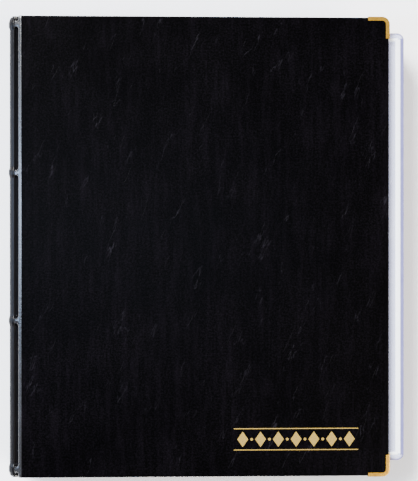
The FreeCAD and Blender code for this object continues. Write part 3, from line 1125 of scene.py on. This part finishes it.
        def place(across: float, along: float) -> Vector:
            """A point of the hinge's outer face, with the bands and the rounded ends.

            Args:
                across: place from the spine to the cover, from 0 to 1.
                along: place along the page, from 0 to 1.

            Returns:
                The point, in metres.
            """
            x, depth = smooth_curve(self.groove, across)
            y = self.row_y(along)
            band = self.band_at(y)
            depth -= band * max(0.0, depth - self.bridge - self.bridge_dip * (1 - across) ** 2)
            depth += self.end_drop(y, self.end_r)
            return Vector((self.edge_x + x * MM, y, outer + down * depth * MM))

        bm = bmesh.new()
        verts = grid(bm, self.hinge_columns, self.rows, place)
        bmesh.ops.recalc_face_normals(bm, faces=bm.faces)
        away = sum((face.normal for face in bm.faces), Vector())
        if away.z * -down < 0:
            bmesh.ops.reverse_faces(bm, faces=bm.faces)
        bmesh.ops.solidify(bm, geom=faces_of(verts), thickness=self.sheet * MM)
        for face in bm.faces:
            face.material_index = int(face.calc_center_median().x > self.edge_x + self.grain_from * MM)
        piece = finish_piece(f"{side.value}_hinge_leatherette", bm, [STRETCHED, LEATHERETTE])
        near, far = (Vector((self.edge_x + x * MM, 0, outer)) for x in self.bend)
        if side is Side.FRONT:
            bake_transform(piece)
        else:
            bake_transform(piece)
        label(piece, "leatherette", f"{side.value}_hinge_strip")


# ------------------------------------------------------------------ ring mechanism


@dataclass
class RingMechanism:
    """Steel ring mechanism: arched plate, blades, four rings in halves, two levers and its rivets.

    Attributes:
        ring_r: radius to the middle of the wire, in mm.
        wire_r: radius of the wire.
        ring_y: places of the rings along the page.
        foot_deg: where the bent wire ends and its foot begins.
        foot_r: radius of the foot.
        hub_r: outer radius of a lever's curled hub.
        lever_t: thickness of the lever's strip.
        rivet_r: radius of a rivet's domed head.
        chamfer: chamfer on the tips of the wire.
        wire_sides: faces round the wire.
        ring_steps: steps along the bent wire.
        foot_steps: the foot's rings of points, as (share of its drop, share of its radius).
        curl_deg: angles of the points round a lever's hub.
        hub_w: half the width of a lever at its hub.
        lever_arm: a lever from its hub to the end of its tab, as (mm outwards, mm up, half width).
        lever_r: rounding of a lever's edges.
        lever_cut_deg: edges that turn by more than this are rounded.
        shank_r: radius of a rivet's shank.
        flat_t: thickness of its flat head.
        dome_t: thickness of its domed head.
    """

    ring_r: float = 13.2
    wire_r: float = 1.5
    ring_y: tuple[float, ...] = (-100.0, -35.0, 35.0, 100.0)
    foot_deg: float = -54.0
    foot_r: float = 1.2
    hub_r: float = 1.9
    lever_t: float = 1.2
    rivet_r: float = 4.0
    chamfer: float = 0.25
    wire_sides: int = 20
    ring_steps: int = 30
    foot_steps: tuple[tuple[float, float], ...] = ((0.45, 1.1), (0.62, 1.0), (1.0, 1.0))
    curl_deg: range = range(60, -211, -30)
    hub_w: float = 3.0
    lever_arm: tuple[tuple[float, float, float], ...] = (
        (-0.2, 2.6, 3.0), (1.4, 5.2, 3.0), (3.1, 7.6, 3.0), (5.2, 9.8, 3.4), (7.1, 11.2, 5.6),
        (8.3, 12.1, 5.9), (8.9, 12.9, 5.4))
    lever_r: float = 0.3
    lever_cut_deg: float = 60.0
    shank_r: float = 2.2
    flat_t: float = 0.6
    dome_t: float = 0.8

    def build(self) -> None:
        """Makes every piece of the mechanism and dresses its solids."""
        for way, side in ((1, "right"), (-1, "left")):
            self.half_rings(way, side)
            dress_node(f"blade_{side}", ZINC)
        for end in End:
            self.lever(end)
        self.rivets()
        for node in ("ring_rider_plate", "rivet_washers", "lever_pins"):
            dress_node(node, NICKEL)

    def half_rings(self, way: int, side: str) -> None:
        """Four half rings of bent wire, with a small chamfer at each tip.

        Args:
            way: 1 for the fore-edge side and -1 for the spine side.
            side: the side's word in the names.
        """
        low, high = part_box(f"{side}_half_rings")
        tip_x = low.x if way > 0 else high.x
        centre_z = high.z - (self.ring_r + self.wire_r) * MM
        foot = math.radians(self.foot_deg)
        bm = bmesh.new()
        for y in self.ring_y:
            centre = Vector((tip_x, y * MM, centre_z))
            start = centre + Vector((way * math.cos(foot), 0, math.sin(foot))) * self.ring_r * MM
            tangent = Vector((-way * math.sin(foot), 0, math.cos(foot)))
            turn = tangent.to_track_quat("Z", "Y").to_matrix().to_4x4()
            ring = bmesh.ops.create_circle(bm, segments=self.wire_sides, radius=self.wire_r * MM,
                                           matrix=Matrix.Translation(start) @ turn)["verts"]
            loop = list({edge for vert in ring for edge in vert.link_edges})
            sweep = math.pi / 2 - foot - self.chamfer / self.ring_r
            spun = bmesh.ops.spin(bm, geom=ring + loop, cent=centre, axis=(0, -way, 0), angle=sweep,
                                  steps=self.ring_steps)["geom_last"]
            tip = [item for item in spun if isinstance(item, bmesh.types.BMEdge)]
            self.cap(bm, tip, Vector((-way * self.chamfer * MM, 0, 0)))
            self.foot(bm, loop, start, low.z)
        piece = finish_piece(f"{side}_half_ring_wires", bm, [NICKEL])
        settle(piece, f"{side}_ring_set", "nickel_plate", f"{side}_half_rings")

    def foot(self, bm: bmesh.types.BMesh, loop: list[bmesh.types.BMEdge], start: Vector,
             end_z: float) -> None:
        """Leads the wire down through the blade.

        Args:
            bm: the mesh.
            loop: edges of the bent wire's lower end.
            start: centre of that end.
            end_z: where the foot ends.
        """
        drop = start.z - end_z
        for share, wide in self.foot_steps:
            verts, loop = extrude_edges(bm, loop)
            centre = Vector((start.x, start.y, start.z - drop * share))
            middle = sum((vert.co for vert in verts), Vector()) / len(verts)
            for vert in verts:
                spoke = vert.co - middle
                spoke.z = 0.0
                vert.co = centre + spoke.normalized() * self.foot_r * wide * MM
        bmesh.ops.edgeloop_fill(bm, edges=loop)

    def cap(self, bm: bmesh.types.BMesh, loop: list[bmesh.types.BMEdge], rise: Vector) -> None:
        """Closes a round end with a narrow chamfer.

        Args:
            bm: the mesh.
            loop: edges of the open end.
            rise: from the open end to its flat.
        """
        share = 1 - self.chamfer / self.wire_r
        verts, rim = extrude_edges(bm, loop)
        middle = sum((vert.co for vert in verts), Vector()) / len(verts)
        for vert in verts:
            vert.co = middle + (vert.co - middle) * share + rise
        bmesh.ops.edgeloop_fill(bm, edges=rim)

    def lever(self, end: End) -> None:
        """A lever bent from strip: curled round its pin, leaning outwards, with a wider thumb tab.

        Args:
            end: the end of the mechanism that it is at.
        """
        name = f"lever_{end.name.lower()}"
        low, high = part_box(name)
        way = end.value
        inner_y = low.y if way > 0 else high.y
        mid_x = (low.x + high.x) / 2
        hub_y, hub_z = inner_y + way * self.hub_r * MM, low.z + self.hub_r * MM
        curl = self.hub_r - self.lever_t / 2
        path = [(curl * math.cos(angle), curl * math.sin(angle), self.hub_w)
                for angle in map(math.radians, self.curl_deg)]
        path += self.lever_arm

        def point(side: int, step: tuple[float, float, float]) -> Vector:
            """A corner of the strip, on one side of its middle line."""
            out, up, width = step
            return Vector((mid_x + side * width * MM, hub_y + way * out * MM, hub_z + up * MM))

        bm = bmesh.new()
        edges = [bm.edges.new([bm.verts.new(point(side, path[0])) for side in (-1, 1)])]
        for step in path[1:]:
            verts, edges = extrude_edges(bm, edges)
            for vert in verts:
                vert.co = point(1 if vert.co.x > mid_x else -1, step)
        piece = finish_piece(f"{name}_strip", bm, [NICKEL])
        shell = piece.modifiers.new("strip thickness", "SOLIDIFY")
        shell.thickness = self.lever_t * MM
        shell.offset = 0.0
        soften(piece, self.lever_r, 3, self.lever_cut_deg)
        settle(piece, name, "nickel_plate", name)

    def rivets(self) -> None:
        """Two tubular rivets with domed heads inside and flat heads on the back cover."""
        low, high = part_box("rivets")
        mid_x = (low.x + high.x) / 2
        back_r = (high.x - low.x) / 2 / MM
        top = (high.z - low.z) / MM
        head, shank, dome = self.rivet_r, self.shank_r, top - self.dome_t
        profile = [(0.0, 0.05), (back_r - 0.5, 0.05), (back_r, 0.25), (back_r, self.flat_t),
                   (shank, self.flat_t), (shank, dome), (head, dome), (head - 0.05, top - 0.55),
                   (head * 0.82, top - 0.2), (head * 0.5, top), (1.3, top), (1.0, top - 0.25),
                   (0.0, top - 0.3)]
        bm = bmesh.new()
        for y in (low.y + back_r * MM, high.y - back_r * MM):
            lathe(bm, profile, Vector((mid_x, y, low.z)), Vector((0, 0, 1)))
        piece = finish_piece("tubular_rivets", bm, [NICKEL])
        settle(piece, "back_cover", "nickel_plate", "rivets")


# ------------------------------------------------------------------ pocket sheets


@dataclass
class PocketSheets:
    """The clear coin sheets: each a punched base film with rows of pockets welded onto it.

    Attributes:
        count: number of sheets.
        width: across the page, in mm.
        height: along the page.
        film: thickness of one film.
        corner_r: rounding of the corners.
        hole_r: radius of the ring holes.
        hole_inset: hole centre from the inner edge.
        hole_outward: hole centre beyond the ring wire.
        margin: width of the punched margin before the pockets begin.
        rim: width of the trimmed edge, darkened as painted shade, also round the holes.
        flange: width of the trimmed flange outside the seam.
        seam: width of the border's welded seam.
        fore_border: width of the plain strip from the pockets to the fore-edge.
        columns: pockets across.
        rows: pockets along the page.
        puff: how far a pocket stands up in its middle.
        planes: distance of the lowest and highest sheet from the ring centre.
        tilts: rise of the lowest and highest sheet towards the fore-edge, in degrees.
        corner_steps: steps round a corner.
        hole_sides: steps round a hole.
        pocket_t: thickness of the pocket film.
        pocket_faces: faces across and along a pocket.
        opening: height of the open slot above each pocket.
        lift: height of a flat pocket film above the base film, besides half a film's thickness.
        fullness: power that makes a pocket's bulge flat on top; 1 would be a plain wave.
        swell: how fast a pocket rises from its foot; at 3 it is full a third of the way up.
        pocket_share: what the pocket itself takes of the puff.
        lip: how much the open lip rises, and where it begins as a share of the pocket.
        column_bead: width of the seams between columns.
        row_bead: width of the seams between rows.
        end_bead: width of the seams at head and tail, as a share of the border's seam.
        overrun: how far the fore-edge seam runs past the pockets; the end seams begin as far beyond
            the margin.
        pocket_gap: from the flange beside the margin to the first pocket.
        bead_h: height of a seam's rounded top.
        bead_power: power that makes that top full.
        bead_z: where the top begins, as a share of the film, and the seam's underside in mm.
        bead_faces: faces across a seam.
        flat_z: underside and top of the flat film beside the pockets.
        flange_z: underside and top of the trimmed flange.
        flange_fit: how far the flange reaches under the flat film and stays inside the base film.
        round_share: what a rounded corner takes off the flange, as a share of its radius.
    """

    rings: RingMechanism
    count: int = 10
    width: float = 202.0
    height: float = 252.0
    film: float = 0.35
    corner_r: float = 4.0
    hole_r: float = 4.0
    hole_inset: float = 8.0
    hole_outward: float = 1.0
    margin: float = 17.0
    rim: float = 0.7
    flange: float = 2.0
    seam: float = 2.9
    fore_border: float = 9.6
    columns: int = 5
    rows: int = 6
    puff: float = 0.28
    planes: tuple[float, float] = (-7.76, 1.84)
    tilts: tuple[float, float] = (-1.6, 4.0)
    corner_steps: int = 6
    hole_sides: int = 28
    pocket_t: float = 0.16
    pocket_faces: int = 8
    opening: float = 0.8
    lift: float = 0.06
    fullness: float = 0.6
    swell: float = 3.0
    pocket_share: float = 0.7
    lip: tuple[float, float] = (1.25, 0.8)
    column_bead: float = 1.4
    row_bead: float = 1.0
    end_bead: float = 0.6
    overrun: float = 1.0
    pocket_gap: float = 1.0
    bead_h: float = 0.22
    bead_power: float = 0.7
    bead_z: tuple[float, float] = (0.75, 0.05)
    bead_faces: int = 6
    flat_z: tuple[float, float] = (0.03, 0.24)
    flange_z: tuple[float, float] = (0.02, 0.32)
    flange_fit: tuple[float, float] = (0.05, 0.04)
    round_share: float = 0.3

    def build(self) -> None:
        """Makes every sheet, from the top one down."""
        low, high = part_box("right_half_rings")
        centre = Vector((low.x, 0, high.z - (self.rings.ring_r + self.rings.wire_r) * MM))
        for number in range(1, self.count + 1):
            share = (number - 1) / (self.count - 1)
            plane = self.planes[1] + share * (self.planes[0] - self.planes[1])
            tilt = math.radians(self.tilts[1] + share * (self.tilts[0] - self.tilts[1]))
            hole = math.sqrt(self.rings.ring_r ** 2 - plane ** 2) + self.hole_outward
            start = Vector((hole - self.hole_inset, 0, plane)) * MM
            place = Matrix.Translation(centre) @ Matrix.Rotation(-tilt, 4, "Y") @ Matrix.Translation(start)
            self.base_film(number, place)
            self.pocket_film(number, place)

    def base_film(self, number: int, place: Matrix) -> None:
        """The punched film, its trimmed rim and its cut edge.

        Args:
            number: the sheet's number.
            place: from the sheet's own place, inner edge at X 0, into the frame.
        """
        bm = bmesh.new()
        outline = bmesh.ops.create_grid(bm, x_segments=1, y_segments=1, size=0.5)["verts"]
        for vert in outline:
            vert.co = Vector(((vert.co.x + 0.5) * self.width, vert.co.y * self.height, 0)) * MM
        bmesh.ops.bevel(bm, geom=outline, offset=self.corner_r * MM, offset_type="OFFSET",
                        segments=self.corner_steps, profile=0.5, affect="VERTICES", material=-1)
        bmesh.ops.delete(bm, geom=list(bm.faces), context="FACES_ONLY")
        for y in self.rings.ring_y:
            at = Matrix.Translation((self.hole_inset * MM, y * MM, 0))
            bmesh.ops.create_circle(bm, segments=self.hole_sides, radius=self.hole_r * MM, matrix=at)
        filled = bmesh.ops.triangle_fill(bm, use_beauty=True, edges=list(bm.edges))["geom"]
        sheet = [item for item in filled if isinstance(item, bmesh.types.BMFace)]
        rim = bmesh.ops.inset_region(bm, faces=sheet, thickness=self.rim * MM, use_boundary=True,
                                     use_even_offset=True)["faces"]
        # The rim round the outline and the holes takes the cut-edge finish, darkened as painted shade.
        for face in rim:
            face.material_index = 1
        sheet = list(bm.faces)
        raised = bmesh.ops.extrude_face_region(bm, geom=sheet, use_keep_orig=True)["geom"]
        lower = [item for item in raised if isinstance(item, bmesh.types.BMVert)]
        bmesh.ops.translate(bm, verts=lower, vec=(0, 0, -self.film * MM))
        bmesh.ops.recalc_face_normals(bm, faces=bm.faces)
        # Upright cut edges take the same painted-shade finish.
        for face in bm.faces:
            if abs(face.normal.z) < UPRIGHT:
                face.material_index = 1
        bm.transform(place)
        piece = finish_piece(f"leaf_{number}_punched_film", bm, [FILM, SHADED_CUT_EDGE])
        for face in piece.data.polygons:
            face.use_smooth = False
        settle(piece, f"leaf_{number}", "clear_pvc", f"leaf_{number}_base_film")

    def pocket_film(self, number: int, place: Matrix) -> None:
        """Rows of pockets with an open upper lip, inside a welded border.

        Args:
            number: the sheet's number.
            place: from the sheet's own place into the frame.
        """
        bm = bmesh.new()
        left, right = self.margin + self.flange + self.pocket_gap, self.width - self.fore_border
        half = self.height / 2 - self.flange - self.seam
        pitch_x = (right - left) / self.columns
        pitch_y = 2 * half / self.rows
        for row in range(self.rows):
            foot = -half + row * pitch_y

            def surface(across: float, along: float, foot: float = foot) -> Vector:
                """A point of one row's film, higher in the middle of each pocket and at its open lip.

                Args:
                    across: place across the page, from 0 to 1.
                    along: place from the pockets' foot to their lip, from 0 to 1.
                    foot: where the row begins along the page, in mm.

                Returns:
                    The point, in metres.
                """
                cell = across * self.columns % 1.0 if across < 1.0 else 0.0
                bulge = math.sin(math.pi * cell) ** self.fullness if 0.0 < cell < 1.0 else 0.0
                grown = min(1.0, along * self.swell) ** self.fullness
                lip = self.lip[0] * max(0.0, along - self.lip[1]) * bulge
                rise = self.puff * (self.pocket_share * bulge * grown + lip)
                return Vector((left + across * (right - left), foot + along * (pitch_y - self.opening),
                               self.lift + self.film * 0.5 + rise)) * MM

            grid(bm, self.columns * self.pocket_faces, self.pocket_faces, surface)
        bmesh.ops.recalc_face_normals(bm, faces=bm.faces)
        bmesh.ops.solidify(bm, geom=list(bm.faces), thickness=self.pocket_t * MM)
        self.flat_film(bm, right)
        for column in range(self.columns + 1):
            x = left - self.column_bead / 2 + column * pitch_x
            self.seam_bead(bm, Vector((x, -half)), Vector((x, half)), self.column_bead)
        for row in range(1, self.rows):
            y = -half + row * pitch_y - self.opening / 2
            self.seam_bead(bm, Vector((left, y)), Vector((right, y)), self.row_bead)
        fore = self.width - self.flange - self.seam / 2
        reach = half + self.overrun
        self.seam_bead(bm, Vector((fore, -reach)), Vector((fore, reach)), self.seam)
        for end in End:
            y = end.value * (half + self.seam / 3)
            self.seam_bead(bm, Vector((self.margin + self.overrun, y)), Vector((fore, y)),
                           self.seam * self.end_bead)
        bm.transform(place)
        piece = finish_piece(f"leaf_{number}_pockets", bm, [FILM, WELD_WITH_PAINTED_HIGHLIGHT, SHADED_CUT_EDGE])
        level_shading(piece)
        settle(piece, f"leaf_{number}", "clear_pvc", f"leaf_{number}_pocket_film")

    def flat_film(self, bm: bmesh.types.BMesh, right: float) -> None:
        """The upper film's flat parts: beside the pockets, and the trimmed flange outside the seam, darkened
        as painted shade.

        Args:
            bm: the mesh, in the sheet's own place.
            right: where the pockets end.
        """
        half = self.height / 2
        inside = self.width - self.flange
        under, within = self.flange_fit
        flat_end = half - self.flange
        flange_end = flat_end - self.corner_r * self.round_share
        block(bm, Vector((right, -flat_end, self.flat_z[0])) * MM,
              Vector((inside, flat_end, self.flat_z[1])) * MM)
        flange = block(bm, Vector((inside - under, -flange_end, self.flange_z[0])) * MM,
                       Vector((self.width - within, flange_end, self.flange_z[1])) * MM)
        # The flange takes the cut-edge finish, darkened as painted shade.
        for face in faces_of(flange):
            face.material_index = 2

    def seam_bead(self, bm: bmesh.types.BMesh, start: Vector, end: Vector, width: float) -> None:
        """A welded seam: a low milky bead with a rounded top, whitened further as a painted highlight.

        Args:
            bm: the mesh, in the sheet's own place.
            start: first end of its middle line, in mm.
            end: last end of its middle line.
            width: width of the bead.
        """
        along = end - start
        side = Vector((along.y, -along.x)).normalized() * width
        top, underside = self.bead_z

        def surface(across: float, share: float) -> Vector:
            """A point of the seam's rounded top.

            Args:
                across: place across the bead, from 0 to 1.
                share: place along the bead, from 0 to 1.

            Returns:
                The point, in metres.
            """
            flat = start + along * share + side * (across - 0.5)
            rise = self.bead_h * math.sin(math.pi * across) ** self.bead_power
            return Vector((flat.x, flat.y, self.film * top + rise)) * MM

        verts = grid(bm, self.bead_faces, 1, surface)
        made = bmesh.ops.extrude_face_region(bm, geom=faces_of(verts), use_keep_orig=True)["geom"]
        for vert in (item for item in made if isinstance(item, bmesh.types.BMVert)):
            vert.co.z = underside * MM
        # The seam takes the weld finish, milky and whitened further as a painted highlight.
        for face in faces_of(verts) + [item for item in made if isinstance(item, bmesh.types.BMFace)]:
            face.material_index = 1


# ------------------------------------------------------------------ studio


@dataclass(frozen=True)
class Lamp:
    """One soft lamp, aimed at the album.

    Attributes:
        name: the lamp's name.
        kind: SUN for one that lights the whole floor alike, AREA for a soft panel.
        place_m: where it stands, in metres; a sun's distance doesn't matter.
        strength: watts of a panel, watts per square metre of a sun.
        colour: sRGB hex colour.
        size: a panel's width and height in metres, or a sun's angle in degrees, twice.
    """

    name: str
    kind: str
    place_m: tuple[float, float, float]
    strength: float
    colour: str
    size: tuple[float, float]

    def place(self) -> None:
        """Adds the lamp to the scene."""
        lamp = bpy.data.lights.new(self.name, self.kind)
        lamp.energy = self.strength
        lamp.color = linear(self.colour)[:3]
        if self.kind == "SUN":
            lamp.angle = math.radians(self.size[0])
        else:
            lamp.shape = "RECTANGLE"
            lamp.size, lamp.size_y = self.size
        holder = bpy.data.objects.new(self.name, lamp)
        holder.location = self.place_m
        holder.rotation_euler = (-Vector(self.place_m)).to_track_quat("-Z", "Y").to_euler()
        bpy.context.scene.collection.objects.link(holder)


LAMPS = (
    Lamp("key", "SUN", (-0.75, 0.8, 1.25), 13.0, "ffffff", (25.0, 25.0)),
    Lamp("window on the spine side", "AREA", (-0.85, 0.04, 0.42), 8.0, "a4ccff", (0.22, 1.3)),
    Lamp("strip over the spine", "AREA", (-0.31, 0.03, 0.64), 4.6, "cfe1ff", (0.10, 0.9)),
    Lamp("fill", "SUN", (1.0, -0.5, 1.3), 4.4, "fff3e4", (40.0, 40.0)),
)


@dataclass
class Studio:
    """Pale floor, soft lights and the camera above the front cover.

    Attributes:
        floor_half: half the floor's width, in metres.
        sky_colour: sRGB hex colour of the even light from all round.
        sky: strength of that light.
        lamps: the lamps.
        distance: camera above the front cover, in mm.
        lean_deg: camera's lean towards the spine side.
        view_height: what the frame holds along the page, at the cover.
        aim: the middle of the view, from the middle of the cover.
        sensor: width of the camera's sensor.
        clip_m: nearest and farthest distance that the camera sees, in metres.
    """

    floor_half: float = 10.0
    sky_colour: str = "f1f3fa"
    sky: float = 0.7
    lamps: tuple[Lamp, ...] = LAMPS
    distance: float = 780.0
    lean_deg: float = 2.1
    view_height: float = 280.8
    aim: tuple[float, float] = (2.45, 3.6)
    sensor: float = 36.0
    clip_m: tuple[float, float] = (0.01, 20.0)

    def build(self) -> None:
        """Sets up floor, lights, world and camera."""
        self.floor()
        self.lights()
        self.camera()

    def floor(self) -> None:
        """A wide plain floor at the album's underside."""
        bm = bmesh.new()
        bmesh.ops.create_grid(bm, x_segments=1, y_segments=1, size=self.floor_half)
        floor = finish_piece("studio_floor", bm, [FLOOR_PAPER])

    def lights(self) -> None:
        """Even light from all round, a key over the head, two cool panels by the spine and a weak fill."""
        world = bpy.data.worlds.new("soft studio")
        world.use_nodes = True
        backdrop = world.node_tree.nodes["Background"]
        backdrop.inputs[0].default_value = linear(self.sky_colour)
        backdrop.inputs[1].default_value = self.sky
        bpy.context.scene.world = world
        for lamp in self.lamps:
            lamp.place()

    def camera(self) -> None:
        """A long lens that looks down on the front cover with the page upright."""
        low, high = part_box("front_skin")
        centre = Vector(((low.x + high.x) / 2, 0, high.z)) + Vector((*self.aim, 0)) * MM
        lean = math.radians(self.lean_deg)
        data = bpy.data.cameras.new("camera")
        data.sensor_width = self.sensor
        data.lens = self.sensor * self.distance / self.view_height
        data.clip_start, data.clip_end = self.clip_m
        camera = bpy.data.objects.new("camera", data)
        camera.location = centre + Vector((-math.sin(lean), 0, math.cos(lean))) * self.distance * MM
        camera.rotation_euler = Euler((0.0, -lean, 0.0))
        bpy.context.scene.collection.objects.link(camera)
        bpy.context.scene.camera = camera


def main() -> None:
    """Builds the album's pieces in order, then the studio."""
    logging.basicConfig(level=logging.INFO, format="%(name)s %(message)s")
    for side in Side:
        Cover(side).build()
    dress_node("foil_ornament", GOLD_FOIL)
    Spine().build()
    rings = RingMechanism()
    rings.build()
    PocketSheets(rings).build()
    Studio().build()


if __name__ == "__main__":
    main()
